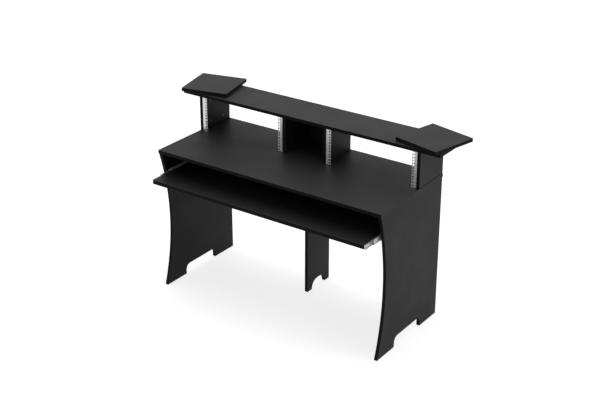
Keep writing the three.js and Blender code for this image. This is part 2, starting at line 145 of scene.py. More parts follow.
class SmallPartLooks(bpy.types.PropertyGroup):
    plastic: colour("Black plastic", "Colour of glides, cages and caps", "#1c1c1e")
    plastic_rubbed: colour("Rubbed plastic", "Colour where the black plastic is rubbed", "#262628")
    nylon: colour("Nylon", "Colour of the platforms' washers and the slides' stops", "#dfdcd2")
    nylon_deep: colour("Deep nylon", "Colour where the nylon is milkier", "#cfcabb")
    felt: colour("Felt", "Colour of the pads under the platforms", "#3d3e42")
    felt_pale: colour("Pale felt", "Colour of the paler fibres in the felt", "#505257")


class HardwareSizes(bpy.types.PropertyGroup):
    ball: length("Ball diameter", "Diameter of the slides' balls", 2.2)
    ball_pitch: length("Ball pitch", "Distance from one ball to the next", 10)
    cap: length("Cap diameter", "Diameter of the caps over the cam fittings", 17)
    cap_inset: length("Cap inset", "Distance of a cap from the joint that its fitting pulls together", 34)
    rail_screw: length("Rail screw head", "Head diameter of the screws in the rack rails", 8)
    slide_screw: length("Slide screw head", "Head diameter of the screws in the slides", 7)
    rail_screws: IntProperty(name="Screws in a rail", description="Screws that hold one rack rail", default=3)


class StudioLooks(bpy.types.PropertyGroup):
    floor: colour("Floor", "Colour of the studio floor", "#e9e9e9")
    floor_seen: colour("Floor shade", "Part of the floor's colour that takes shadows in view", "#cccccc")
    floor_span: length("Floor width", "Width of the square studio floor", 40000)
    world_level: FloatProperty(
        name="Surrounding light", description="Strength of the even light from all sides",
        default=0.3, min=0)
    floor_lift: FloatProperty(
        name="Floor lift", description="Level added to the floor as the camera sees it",
        default=0.77, min=0)
    floor_lift_far: FloatProperty(
        name="Far floor lift", description="Level added to the floor far from the desk",
        default=0.97, min=0)
    floor_mirrored: FloatProperty(
        name="Mirrored floor lift", description="Share of the lift that shows where the desk mirrors the floor",
        default=0.68, min=0, max=1)


# Node and material building

def add_node(tree, kind, settings=None, inputs=None):
    """Add a node with its settings. An input is either a value or the socket that feeds it."""
    node = tree.nodes.new(kind)
    for name, value in (settings or {}).items():
        setattr(node, name, value)
    for name, value in (inputs or {}).items():
        if isinstance(value, bpy.types.NodeSocket):
            tree.links.new(value, node.inputs[name])
        else:
            node.inputs[name].default_value = value
    return node


def per_metre(millimetres):
    """Texture scale whose features have this size."""
    return 1 / (millimetres * MM)


def start_material(name):
    """Make an empty material. Return it, its node tree and the place on the piece in metres."""
    material = bpy.data.materials.new(name)
    material.use_nodes = True
    tree = material.node_tree
    tree.nodes.clear()
    place = add_node(tree, "ShaderNodeTexCoord").outputs["Object"]
    return material, tree, place


def finish_material(tree, shader_inputs):
    shader = add_node(tree, "ShaderNodeBsdfPrincipled", inputs=shader_inputs)
    add_node(tree, "ShaderNodeOutputMaterial", inputs={"Surface": shader.outputs["BSDF"]})


def noise(tree, place, size_mm, detail=2.0, roughness=0.5):
    settings = {"noise_dimensions": "3D"}
    inputs = {"Vector": place, "Scale": per_metre(size_mm), "Detail": detail, "Roughness": roughness}
    return add_node(tree, "ShaderNodeTexNoise", settings, inputs).outputs["Fac"]


def melamine_face(looks):
    """Melamine-faced chipboard: printed paper in resin, pressed hot against a pearl-textured plate.

    It gives an even matt black with a soft sheen, a fine pearl in the highlights and, where it is
    handled, faint smears that are a little glossier and paler.
    """
    material, tree, place = start_material("melamine_faced_chipboard_black")
    smears = noise(tree, place, 160, 4, 0.55)
    handled = add_node(tree, "ShaderNodeMapRange", inputs={
        "Value": smears, "From Min": 0.42, "From Max": 0.68}).outputs["Result"]
    # Cleaning leaves long shallow streaks, 60 mm by 2 mm.
    stretched = add_node(tree, "ShaderNodeMapping", inputs={
        "Vector": place, "Scale": (1 / 30, 1, 1)}).outputs["Vector"]
    streaks = noise(tree, stretched, 2, 2, 0.5)
    base = add_node(tree, "ShaderNodeMix", {"data_type": "RGBA"}, {
        "Factor": handled, MIX_A: looks.face, MIX_B: looks.face_worn}).outputs[MIX_RESULT]
    gloss = add_node(tree, "ShaderNodeMapRange", inputs={
        "Value": smears, "From Min": 0.3, "From Max": 0.7, "To Min": 0.55, "To Max": 0.49}).outputs["Result"]
    rough = add_node(tree, "ShaderNodeMapRange", inputs={
        "Value": streaks, "From Min": 0.2, "From Max": 0.8, "To Min": -0.02, "To Max": 0.02}).outputs["Result"]
    roughness = add_node(tree, "ShaderNodeMath", {"operation": "ADD"}, {0: gloss, 1: rough}).outputs["Value"]
    # The pearl of the press plate is 0.8 mm. It is drawn at 2.5 mm so that it shows.
    pearl = noise(tree, place, 2.5, 3, 0.6)
    bump = add_node(tree, "ShaderNodeBump", inputs={
        "Strength": 0.25, "Distance": 0.1 * MM, "Height": pearl}).outputs["Normal"]
    finish_material(tree, {
        "Base Color": base, "Roughness": roughness, "Normal": bump, "IOR": 1.5, "Specular IOR Level": 0.165})
    return material


def edge_band_and_shade(looks):
    """ABS edge band, extruded, glued hot and buffed: flatter than the faces, with fine drawn lines. Its dark
    tone is partly the band's own and partly painted shade for the front edges.
    """
    material, tree, place = start_material("abs_edge_band_black")
    stipple = noise(tree, place, 2, 2, 0.5)
    patches = noise(tree, place, 70, 3, 0.5)
    rubbed = add_node(tree, "ShaderNodeMapRange", inputs={
        "Value": patches, "From Min": 0.35, "From Max": 0.75, "To Max": 0.55}).outputs["Result"]
    tone = add_node(tree, "ShaderNodeMix", {"data_type": "RGBA"}, {
        "Factor": rubbed, MIX_A: looks.edge_band_and_shade, MIX_B: looks.face}).outputs[MIX_RESULT]
    rough = add_node(tree, "ShaderNodeMapRange", inputs={
        "Value": patches, "To Min": 0.56, "To Max": 0.68}).outputs["Result"]
    bump = add_node(tree, "ShaderNodeBump", inputs={
        "Strength": 0.2, "Distance": 0.08 * MM, "Height": stipple}).outputs["Normal"]
    finish_material(tree, {
        "Base Color": tone, "Roughness": rough, "Normal": bump, "IOR": 1.5, "Specular IOR Level": 0.08})
    return material


def scraped_arris_and_highlight(looks):
    """The corner of the ABS band, scraped to a small radius: a thin paler line with chatter marks. The paleness
    is partly scraped plastic and partly a painted highlight.
    """
    material, tree, place = start_material("abs_edge_band_scraped")
    chatter = noise(tree, place, 6, 2, 0.6)
    tone = add_node(tree, "ShaderNodeMix", {"data_type": "RGBA"}, {
        "Factor": chatter, MIX_A: looks.edge_band_and_shade, MIX_B: looks.arris_and_highlight}).outputs[MIX_RESULT]
    rough = add_node(tree, "ShaderNodeMapRange", inputs={
        "Value": chatter, "To Min": 0.38, "To Max": 0.55}).outputs["Result"]
    finish_material(tree, {"Base Color": tone, "Roughness": rough, "IOR": 1.5, "Specular IOR Level": 0.35})
    return material


def joint_shadow_paint(looks):
    """Painted shade in the joint between rack side and desktop: a dull line, darker than the boards."""
    material, tree, place = start_material("black_seam_shadow_paint")
    smears = noise(tree, place, 15, 2, 0.5)
    rough = add_node(tree, "ShaderNodeMapRange", inputs={
        "Value": smears, "To Min": 0.6, "To Max": 0.8}).outputs["Result"]
    finish_material(tree, {
        "Base Color": looks.seam_shadow, "Roughness": rough, "IOR": 1.44, "Specular IOR Level": 0.05})
    return material


def plated_strip(name, bright, clouded, smoothest, roughest):
    """Cold-rolled strip with a cloudy coat on it and faint lines along its length."""
    material, tree, place = start_material(name)
    clouds = noise(tree, place, 14, 3, 0.6)
    tone = add_node(tree, "ShaderNodeMix", {"data_type": "RGBA"}, {
        "Factor": clouds, MIX_A: bright, MIX_B: clouded}).outputs[MIX_RESULT]
    # Rolling lines are finer than 0.1 mm. They are drawn 1 mm apart so that they show.
    along = add_node(tree, "ShaderNodeMapping", inputs={
        "Vector": place, "Scale": (1, 1 / 40, 1)}).outputs["Vector"]
    lines = noise(tree, along, 1, 2, 0.5)
    rough = add_node(tree, "ShaderNodeMapRange", inputs={
        "Value": clouds, "From Min": 0.25, "From Max": 0.75,
        "To Min": smoothest, "To Max": roughest}).outputs["Result"]
    bump = add_node(tree, "ShaderNodeBump", inputs={
        "Strength": 0.15, "Distance": 0.05 * MM, "Height": lines}).outputs["Normal"]
    finish_material(tree, {"Base Color": tone, "Metallic": 1.0, "Roughness": rough, "Normal": bump})
    return material


def zinc_plate(looks):
    """Cold-rolled steel, electroplated with zinc and blue-passivated: bright, cool, with bluish patches."""
    return plated_strip("zinc_plated_steel", looks.zinc, looks.zinc_blue, 0.3, 0.42)


def greased_zinc(looks):
    """Zinc-plated steel wiped with grease: greyer and softer than the bare plate, darker where it gathers."""
    return plated_strip("zinc_plated_steel_greased", looks.greased, looks.greased_deep, 0.36, 0.5)


def galvanised_strip(looks):
    """Strip galvanised before it is folded: matt and pale, because its fine frost scatters the light."""
    return plated_strip("galvanised_steel_strip", looks.galvanised, looks.zinc, 0.6, 0.72)


def die_cast_zinc(looks):
    """Zinc alloy cast under pressure and tumbled: dull grey with a fine orange-peel skin."""
    material, tree, place = start_material("die_cast_zinc")
    skin = noise(tree, place, 1.2, 3, 0.6)
    stains = noise(tree, place, 9, 2, 0.5)
    tone = add_node(tree, "ShaderNodeMix", {"data_type": "RGBA"}, {
        "Factor": stains, MIX_A: looks.cast, MIX_B: looks.zinc_blue}).outputs[MIX_RESULT]
    rough = add_node(tree, "ShaderNodeMapRange", inputs={
        "Value": skin, "To Min": 0.42, "To Max": 0.6}).outputs["Result"]
    bump = add_node(tree, "ShaderNodeBump", inputs={
        "Strength": 0.3, "Distance": 0.1 * MM, "Height": skin}).outputs["Normal"]
    finish_material(tree, {"Base Color": tone, "Metallic": 1.0, "Roughness": rough, "Normal": bump})
    return material


def bearing_steel(looks):
    """Chrome steel, ground and lapped: mirror bright, a little greasy."""
    material, tree, place = start_material("chrome_bearing_steel")
    grease = noise(tree, place, 4, 2, 0.5)
    rough = add_node(tree, "ShaderNodeMapRange", inputs={
        "Value": grease, "To Min": 0.08, "To Max": 0.2}).outputs["Result"]
    finish_material(tree, {"Base Color": looks.ball, "Metallic": 1.0, "Roughness": rough})
    return material


def moulded_plastic(looks):
    """Acetal and polyethylene, injection moulded in a spark-eroded tool: a fine even stipple."""
    material, tree, place = start_material("moulded_acetal_black")
    stipple = noise(tree, place, 1, 2, 0.6)
    rub = noise(tree, place, 12, 3, 0.5)
    tone = add_node(tree, "ShaderNodeMix", {"data_type": "RGBA"}, {
        "Factor": rub, MIX_A: looks.plastic, MIX_B: looks.plastic_rubbed}).outputs[MIX_RESULT]
    rough = add_node(tree, "ShaderNodeMapRange", inputs={
        "Value": rub, "To Min": 0.4, "To Max": 0.6}).outputs["Result"]
    bump = add_node(tree, "ShaderNodeBump", inputs={
        "Strength": 0.2, "Distance": 0.05 * MM, "Height": stipple}).outputs["Normal"]
    finish_material(tree, {"Base Color": tone, "Roughness": rough, "Normal": bump, "IOR": 1.48})
    return material


def natural_nylon(looks):
    """Uncoloured nylon, turned and sawn: milky, with faint rings."""
    material, tree, place = start_material("natural_nylon")
    haze = noise(tree, place, 8, 3, 0.5)
    tone = add_node(tree, "ShaderNodeMix", {"data_type": "RGBA"}, {
        "Factor": haze, MIX_A: looks.nylon, MIX_B: looks.nylon_deep}).outputs[MIX_RESULT]
    rough = add_node(tree, "ShaderNodeMapRange", inputs={
        "Value": haze, "To Min": 0.35, "To Max": 0.55}).outputs["Result"]
    finish_material(tree, {"Base Color": tone, "Roughness": rough, "IOR": 1.53, "Subsurface Weight": 0.1,
                           "Subsurface Radius": (1, 0.95, 0.85), "Subsurface Scale": 1 * MM})
    return material


def pressed_felt(looks):
    """Wool felt, needled and pressed: no gloss, a soft sheen and matted fibres."""
    material, tree, place = start_material("pressed_wool_felt")
    fibres = noise(tree, place, 1.5, 5, 0.7)
    clumps = noise(tree, place, 7, 2, 0.5)
    tone = add_node(tree, "ShaderNodeMix", {"data_type": "RGBA"}, {
        "Factor": clumps, MIX_A: looks.felt, MIX_B: looks.felt_pale}).outputs[MIX_RESULT]
    bump = add_node(tree, "ShaderNodeBump", inputs={
        "Strength": 0.6, "Distance": 0.3 * MM, "Height": fibres}).outputs["Normal"]
    finish_material(tree, {"Base Color": tone, "Roughness": 0.95, "Normal": bump, "Sheen Weight": 0.4,
                           "Sheen Roughness": 0.5, "Specular IOR Level": 0.2})
    return material


def finish_of(slot):
    """The finish for one of the record's material slots, or for one side of a piece, made once."""
    scene = bpy.context.scene
    boards, metals, small = scene.desk_boards, scene.desk_metals, scene.desk_small_parts
    makers = {
        "black_melamine": ("melamine_faced_chipboard_black", melamine_face, boards),
        "edge_band_and_shade": ("abs_edge_band_black", edge_band_and_shade, boards),
        "arris_and_highlight": ("abs_edge_band_scraped", scraped_arris_and_highlight, boards),
        "joint_shadow_paint": ("black_seam_shadow_paint", joint_shadow_paint, boards),
        "zinc_plated_steel": ("zinc_plated_steel", zinc_plate, metals),
        "greased_steel": ("zinc_plated_steel_greased", greased_zinc, metals),
        "galvanised_steel": ("galvanised_steel_strip", galvanised_strip, metals),
        "die_cast_zinc": ("die_cast_zinc", die_cast_zinc, metals),
        "bearing_steel": ("chrome_bearing_steel", bearing_steel, metals),
        "black_plastic": ("moulded_acetal_black", moulded_plastic, small),
        "white_nylon": ("natural_nylon", natural_nylon, small),
        "grey_felt": ("pressed_wool_felt", pressed_felt, small),
    }
    name, maker, looks = makers[slot]
    return bpy.data.materials.get(name) or maker(looks)


# Mesh building

def cad_mesh(node):
    """A merged copy of a solid's mesh, with its flat faces whole again."""
    bm = bmesh.new()
    bm.from_mesh(NODES[node].data)
    bmesh.ops.remove_doubles(bm, verts=bm.verts, dist=5 * SAME_POINT)
    bmesh.ops.dissolve_limit(bm, angle_limit=FLAT_ANGLE, verts=bm.verts, edges=bm.edges)
    return bm


def is_corner(edge):
    return edge.calc_face_angle(0) > CORNER_ANGLE


def long_corners(bm, shortest):
    """The corner edges longer than a length, such as the folds of a channel."""
    return [edge for edge in bm.edges if edge.calc_length() > shortest and is_corner(edge)]


def round_edges(bm, edges, radius):
    bmesh.ops.bevel(
        bm, geom=edges, offset=radius, offset_type="OFFSET", affect="EDGES", segments=2, profile=0.5,
        clamp_overlap=True, material=-1)


def turned(profile, steps=24, closed=False):
    """Spin (radius, height) points about Z. A closed profile gives a ring."""
    bm = bmesh.new()
    points = [bm.verts.new((radius, 0, height)) for radius, height in profile]
    edges = [bm.edges.new(pair) for pair in zip(points, points[1:])]
    if closed:
        edges.append(bm.edges.new((points[-1], points[0])))
    bmesh.ops.spin(
        bm, geom=points + edges, cent=(0, 0, 0), axis=(0, 0, 1), dvec=(0, 0, 0), angle=2 * pi,
        steps=steps, use_merge=True, use_duplicate=False)
    bmesh.ops.remove_doubles(bm, verts=bm.verts, dist=SAME_POINT)
    bmesh.ops.recalc_face_normals(bm, faces=bm.faces)
    return bm


def rounded_block(low, high, radius):
    """A box with all its edges rounded."""
    bm = bmesh.new()
    bmesh.ops.create_cube(bm, size=1)
    low, high = Vector(low), Vector(high)
    bmesh.ops.scale(bm, vec=high - low, verts=bm.verts)
    bmesh.ops.translate(bm, vec=(low + high) / 2, verts=bm.verts)
    round_edges(bm, bm.edges[:], radius)
    return bm


def cross_head(diameter, height):
    """A domed screw head that stands on z = 0, with a cross recess."""
    radius = diameter / 2
    bm = turned([
        (0, 0), (radius, 0), (radius * 0.97, height * 0.45), (radius * 0.82, height * 0.84),
        (radius * 0.62, height),
    ])
    rim = [edge for edge in bm.edges if edge.is_boundary]
    cap = bmesh.ops.contextual_create(bm, geom=rim)["faces"][0]
    bmesh.ops.inset_individual(bm, faces=[cap], thickness=radius * 0.06)
    # The cap has a point every 15 degrees. Each arm ends in two of them, and the others move in to the waist.
    step, arm_reach, waist = 15, 0.5, 0.17
    for vert in cap.verts:
        turn = (degrees(atan2(vert.co.y, vert.co.x)) - step / 2) % 90
        on_arm = min(turn, 90 - turn) < step * 0.6
        vert.co.xy *= (arm_reach if on_arm else waist) * radius / hypot(vert.co.x, vert.co.y)
    # The recess narrows towards its floor.
    floor = bmesh.ops.extrude_discrete_faces(bm, faces=[cap])["faces"][0]
    for vert in floor.verts:
        vert.co.xy *= 0.6
        vert.co.z -= height * 0.6
    bmesh.ops.recalc_face_normals(bm, faces=bm.faces)
    return bm


def capsule_cutter(long, wide, deep):
    """A slot-shaped cutter along Y, cutting along X."""
    bm = bmesh.new()
    bmesh.ops.create_circle(bm, cap_ends=True, radius=wide / 2, segments=20)
    bmesh.ops.rotate(bm, cent=(0, 0, 0), matrix=Matrix.Rotation(pi / 2, 3, "Y"), verts=bm.verts)
    for vert in bm.verts:
        if abs(vert.co.y) > SAME_POINT / 10:
            vert.co.y += (long - wide) / 2 * (1 if vert.co.y > 0 else -1)
    bmesh.ops.translate(bm, vec=(-deep / 2, 0, 0), verts=bm.verts)
    grown = bmesh.ops.extrude_face_region(bm, geom=bm.faces[:])["geom"]
    moved = [item for item in grown if isinstance(item, bmesh.types.BMVert)]
    bmesh.ops.translate(bm, vec=(deep, 0, 0), verts=moved)
    bmesh.ops.recalc_face_normals(bm, faces=bm.faces)
    return bm


def facing(place, direction):
    """Matrix that stands a piece built on z = 0 at a place, facing a direction."""
    turn = Vector(direction).to_track_quat("Z", "Y").to_matrix().to_4x4()
    return Matrix.Translation(place) @ turn


def add_copy(bm, source, matrix=Matrix.Identity(4), material_index=0):
    """Add a copy of one mesh under construction to another."""
    spare = bpy.data.meshes.new("spare")
    source.to_mesh(spare)
    spare.transform(matrix)
    start = len(bm.faces)
    bm.from_mesh(spare)
    bm.faces.ensure_lookup_table()
    for face in bm.faces[start:]:
        face.material_index = material_index
    bpy.data.meshes.remove(spare)


def finish_piece(bm, name, body, finishes, replaces=()):
    """Make the object, put it on its body and give it its finishes."""
    mesh = bpy.data.meshes.new(name)
    bm.to_mesh(mesh)
    bm.free()
    for finish in finishes:
        mesh.materials.append(finish)
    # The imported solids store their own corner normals, which don't fit the rounded edges.
    stored = mesh.attributes.get("custom_normal")
    if stored:
        mesh.attributes.remove(stored)
    mesh.set_sharp_from_angle(angle=SHARP_ANGLE)
    piece = bpy.data.objects.new(name, mesh)
    bpy.context.scene.collection.objects.link(piece)
    shading = piece.modifiers.new("shading", "WEIGHTED_NORMAL")
    shading.keep_sharp = True
    if replaces:
        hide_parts(*replaces)
    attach(piece, body)
    return piece


def punch(piece, cutters):
    """Cut openings in a piece with cutters that then go away."""
    bm = bmesh.new()
    for cutter, matrix in cutters:
        add_copy(bm, cutter, matrix)
    mesh = bpy.data.meshes.new("cutter")
    bm.to_mesh(mesh)
    bm.free()
    tool = bpy.data.objects.new("cutter", mesh)
    bpy.context.scene.collection.objects.link(tool)
    cut = piece.modifiers.new("openings", "BOOLEAN")
    cut.operation = "DIFFERENCE"
    cut.solver = "EXACT"
    cut.object = tool
    # The shading modifier is off while the mesh is cut, because it works on the cut mesh afterwards.
    piece.modifiers["shading"].show_viewport = False
    cut_piece = piece.evaluated_get(bpy.context.evaluated_depsgraph_get())
    whole, piece.data = piece.data, bpy.data.meshes.new_from_object(cut_piece)
    piece.data.name = piece.name
    piece.data.set_sharp_from_angle(angle=SHARP_ANGLE)
    piece.modifiers.remove(cut)
    piece.modifiers["shading"].show_viewport = True
    bpy.data.objects.remove(tool)
    bpy.data.meshes.remove(mesh)
    bpy.data.meshes.remove(whole)


def inside_fitting(point, margin=1.5 * MM):
    """Whether a point lies in the room of a fitting, so its hole keeps its sharp rim."""
    return any(
        all(low[i] - margin < point[i] < high[i] + margin for i in range(3)) for low, high in FITTING_BOXES)


class DESK_OT_finish_solids(bpy.types.Operator):
    """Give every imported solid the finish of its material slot"""
    bl_idname = "desk.finish_solids"
    bl_label = "Finish the solids"

    def execute(self, context):
        for node, solid in NODES.items():
            solid.data.materials.clear()
            solid.data.materials.append(finish_of(SLOT_OF[node]))
        return {"FINISHED"}


class DESK_OT_dress_boards(bpy.types.Operator):
    """Build the boards with melamine faces, edge bands and scraped corners"""
    bl_idname = "desk.dress_boards"
    bl_label = "Boards"

    def execute(self, context):
        looks = context.scene.desk_boards
        finishes = [finish_of(slot) for slot in ("black_melamine", "edge_band_and_shade", "arris_and_highlight", "joint_shadow_paint")]
        for node in BOARD_NODES:
            low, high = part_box(node)
            size = high - low
            across = min(range(3), key=lambda i: size[i])
            bm = cad_mesh(node)
            if node in BACK_BOARDS:
                # They reach their neighbours here, so no light shows through.
                middle_x = (low.x + high.x) / 2
                for vert in bm.verts:
                    vert.co.x += BACK_BOARD_REACH * (1 if vert.co.x > middle_x else -1)
            corners = [
                edge for edge in bm.edges
                if is_corner(edge) and not inside_fitting((edge.verts[0].co + edge.verts[1].co) / 2)
            ]
            round_edges(bm, corners, looks.arris_radius)
            # The joint between a rack side and the desktop shows as a thin dark line of painted shade at the
            # foot of the rack side.
            seam_shadowed = node.startswith("rack_side")
            seam_shadow_top = low.z + looks.seam_shadow_height
            if seam_shadowed:
                bmesh.ops.bisect_plane(
                    bm, geom=bm.verts[:] + bm.edges[:] + bm.faces[:], dist=SAME_POINT,
                    plane_co=(0, 0, seam_shadow_top), plane_no=(0, 0, 1))
            bm.normal_update()
            for face in bm.faces:
                share = abs(face.normal[across])
                flat = share > SQUARE or share < 1 - SQUARE
                # The desktop's ends get the face finish instead of the darker edge band, as painted light that
                # keeps these side-lit ends as light as the panels below.
                face_finished = share > 0.5 or (node == "desktop" and abs(face.normal.x) > SQUARE)
                face.material_index = (FACE if face_finished else EDGE_BAND) if flat else ARRIS
                if seam_shadowed and face.calc_center_median().z < seam_shadow_top:
                    face.material_index = JOINT_SHADOW
            finish_piece(bm, f"{node}_board", BODY_OF[node], finishes, [node])
        return {"FINISHED"}


class DESK_OT_dress_rails(bpy.types.Operator):
    """Build the rack rails as folded sheet, and their screws"""
    bl_idname = "desk.dress_rails"
    bl_label = "Rack rails"

    # Where the screws stand behind the rail's face, and their head's height against its diameter
    SCREW_BACK = 13 * MM
    HEAD_SHARE = 0.28

    def execute(self, context):
        metals, sizes = context.scene.desk_metals, context.scene.desk_hardware
        zinc = finish_of("zinc_plated_steel")
        head = cross_head(sizes.rail_screw, sizes.rail_screw * self.HEAD_SHARE)
        for side, sign in SIDES:
            for place, inward in (("outer", -sign), ("inner", sign)):
                node = f"rack_rail_{side}_{place}"
                low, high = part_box(node)
                bm = cad_mesh(node)
                round_edges(bm, long_corners(bm, (high.z - low.z) / 2), metals.fold_radius)
                finish_piece(bm, f"{node}_sheet", BODY_OF[node], [zinc], [node])
                wall = low.x if inward > 0 else high.x
                screws = bmesh.new()
                for i in range(sizes.rail_screws):
                    height = low.z + (high.z - low.z) * (i + 0.5) / sizes.rail_screws
                    spot = (wall + inward * RAIL_SHEET, low.y + self.SCREW_BACK, height)
                    add_copy(screws, head, facing(spot, (inward, 0, 0)))
                finish_piece(screws, f"{node}_screws", BODY_OF[node], [zinc])
        head.free()
        return {"FINISHED"}


class DESK_OT_dress_slides(bpy.types.Operator):
    """Build the slides' channels with folded edges, windows, screws and stops"""
    bl_idname = "desk.dress_slides"
    bl_label = "Slides"

    # Places along a channel, as shares of its length from the front
    WINDOWS = (0.36, 0.6, 0.84)
    SLOTS = (0.165, 0.55, 0.75)
    SCREWS = (0.06, 0.45, 0.85)
    # Length and width of the openings, and how deep their cutters reach
    WINDOW_SIZE = (30 * MM, 9 * MM)
    SLOT_SIZE = (12 * MM, 5 * MM)
    CUTTER_DEEP = 6 * MM
    FLAT_HEAD_HIGH = 0.4 * MM
    PAN_HEAD_HIGH = 0.9 * MM
    # The stop in the mouth of the middle channel
    STOP_SET_BACK = 0.5 * MM
    STOP_LONG = 9 * MM
    STOP_DEEP = 6.4 * MM
    STOP_HALF_HIGH = 8 * MM
    STOP_ROUNDING = 1.5 * MM

    def execute(self, context):
        metals, sizes = context.scene.desk_metals, context.scene.desk_hardware
        zinc, greased, galvanised = (
            finish_of(slot) for slot in ("zinc_plated_steel", "greased_steel", "galvanised_steel"))
        window = capsule_cutter(*self.WINDOW_SIZE, self.CUTTER_DEEP)
        slot = capsule_cutter(*self.SLOT_SIZE, self.CUTTER_DEEP)
        flat_head = cross_head(sizes.slide_screw, self.FLAT_HEAD_HIGH)
        pan_head = cross_head(sizes.slide_screw, self.PAN_HEAD_HIGH)
        for side, sign in SIDES:
            for member in ("fixed", "middle", "shelf"):
                node = f"slide_{member}_{side}"
                low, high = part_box(node)
                middle_z = (low.z + high.z) / 2
                long = high.y - low.y
                bm = cad_mesh(node)
                round_edges(bm, long_corners(bm, long / 2), metals.fold_radius)
                # The moving channels carry a film of grease. The fixed one is clean outside its races.
                steel = galvanised if member == "fixed" else greased
                piece = finish_piece(bm, f"{node}_channel", BODY_OF[node], [steel], [node])
                # The web of the shelf's channel lies on the shelf. The other webs lie towards the side panel.
                inward = sign if member == "shelf" else -sign
                web_x = (low.x if inward > 0 else high.x) + inward * SLIDE_SHEET
                if member == "middle":
                    self.cut(piece, window, [(web_x, low.y + long * share, middle_z) for share in self.WINDOWS])
                    self.add_stop(side, BODY_OF[node], web_x, inward, low.y + self.STOP_SET_BACK, middle_z)
                    continue
                head = flat_head if member == "fixed" else pan_head
                screws = bmesh.new()
                for share in self.SCREWS:
                    add_copy(screws, head, facing((web_x, low.y + long * share, middle_z), (inward, 0, 0)))
                finish_piece(screws, f"{node}_screws", BODY_OF[node], [zinc])
                if member == "shelf":
                    self.cut(piece, slot, [(web_x, low.y + long * share, middle_z) for share in self.SLOTS])
        for tool in (window, slot, flat_head, pan_head):
            tool.free()
        return {"FINISHED"}

    @staticmethod
    def cut(piece, cutter, spots):
        punch(piece, [(cutter, Matrix.Translation(spot)) for spot in spots])

    def add_stop(self, side, body, web_x, inward, front, middle_z):
        ends = sorted((web_x, web_x + inward * self.STOP_DEEP))
        stop = rounded_block(
            (ends[0], front, middle_z - self.STOP_HALF_HIGH),
            (ends[1], front + self.STOP_LONG, middle_z + self.STOP_HALF_HIGH), self.STOP_ROUNDING)
        finish_piece(stop, f"slide_stop_{side}", body, [finish_of("white_nylon")])


class DESK_OT_dress_cages(bpy.types.Operator):
    """Build the ball cages with their balls"""
    bl_idname = "desk.dress_cages"
    bl_label = "Ball cages"

    # The balls' centres, from the cage's upper or lower edge and from its web
    BALL_FROM_EDGE = 0.65 * MM
    BALL_FROM_WEB = 3 * MM
    # Only the edges along the cage are rounded, which are longer than this.
    LONG_EDGE = 50 * MM
    EDGE_ROUNDING = 0.25 * MM

    def execute(self, context):
        sizes = context.scene.desk_hardware
        plastic, steel = finish_of("black_plastic"), finish_of("bearing_steel")
        ball = bmesh.new()
        bmesh.ops.create_icosphere(ball, subdivisions=2, radius=sizes.ball / 2)
        for side, sign in SIDES:
            for stage in ("outer", "inner"):
                node = f"ball_cage_{stage}_{side}"
                low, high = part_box(node)
                bm = cad_mesh(node)
                long_edges = [edge for edge in bm.edges if edge.calc_length() > self.LONG_EDGE]
                round_edges(bm, long_edges, self.EDGE_ROUNDING)
                web_x = high.x if sign > 0 else low.x
                count = int((high.y - low.y) / sizes.ball_pitch)
                first = (low.y + high.y - (count - 1) * sizes.ball_pitch) / 2
                for height in (low.z + self.BALL_FROM_EDGE, high.z - self.BALL_FROM_EDGE):
                    for i in range(count):
                        spot = (web_x - sign * self.BALL_FROM_WEB, first + i * sizes.ball_pitch, height)
                        add_copy(bm, ball, Matrix.Translation(spot), 1)
                finish_piece(bm, f"{node}_balls", BODY_OF[node], [plastic, steel], [node])
        ball.free()
        return {"FINISHED"}


class DESK_OT_fit_caps(bpy.types.Operator):
    """Add the plastic caps over the cam fittings that hold the boards together"""
    bl_idname = "desk.fit_caps"
    bl_label = "Cam caps"

    # Distance of a cap from the end of its joint
    END_INSET = 60 * MM
    # Height of a cap, and of the dimple in its middle
    CAP_HIGH = 1.1 * MM
    DIMPLE_HIGH = 0.7 * MM

    def execute(self, context):
        sizes = context.scene.desk_hardware
        plastic = finish_of("black_plastic")
        radius = sizes.cap / 2
        cap = turned([
            (0, 0), (radius, 0), (radius, 0.5 * MM), (radius * 0.95, 0.95 * MM), (radius * 0.8, self.CAP_HIGH),
            (radius * 0.25, self.CAP_HIGH), (radius * 0.18, self.DIMPLE_HIGH), (0, self.DIMPLE_HIGH),
        ])
        inset, end_inset = sizes.cap_inset, self.END_INSET
        for side, sign in SIDES:
            spots = []
            for place in ("front", "rear"):
                low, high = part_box(f"cam_{side}_{place}")
                spots.append((low.x if sign > 0 else high.x, (low.y + high.y) / 2, (low.z + high.z) / 2))
            self.add_caps(f"side_panel_{side}", cap, spots, (-sign, 0, 0), plastic)

            for board in (f"rack_side_{side}", f"rack_divider_{side}"):
                low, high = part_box(board)
                inner_x = low.x if sign > 0 else high.x
                spots = [(inner_x, y, z) for y in (low.y + end_inset, high.y - end_inset)
                         for z in (low.z + inset, high.z - inset)]
                self.add_caps(board, cap, spots, (-sign, 0, 0), plastic)

            low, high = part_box(f"rear_panel_{side}")
            spots = [(x, low.y, z) for x in (low.x + inset, high.x - inset)
                     for z in (low.z + end_inset, high.z - end_inset)]
            self.add_caps(f"rear_panel_{side}", cap, spots, (0, -1, 0), plastic)
        low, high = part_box("middle_leg")
        spots = [(high.x, y, high.z - inset) for y in (low.y + end_inset, high.y - end_inset)]
        self.add_caps("middle_leg", cap, spots, (1, 0, 0), plastic)
        cap.free()
        return {"FINISHED"}

    @staticmethod
    def add_caps(node, cap, spots, direction, finish):
        bm = bmesh.new()
        for spot in spots:
            add_copy(bm, cap, facing(spot, direction))
        finish_piece(bm, f"{node}_cam_caps", BODY_OF[node], [finish])


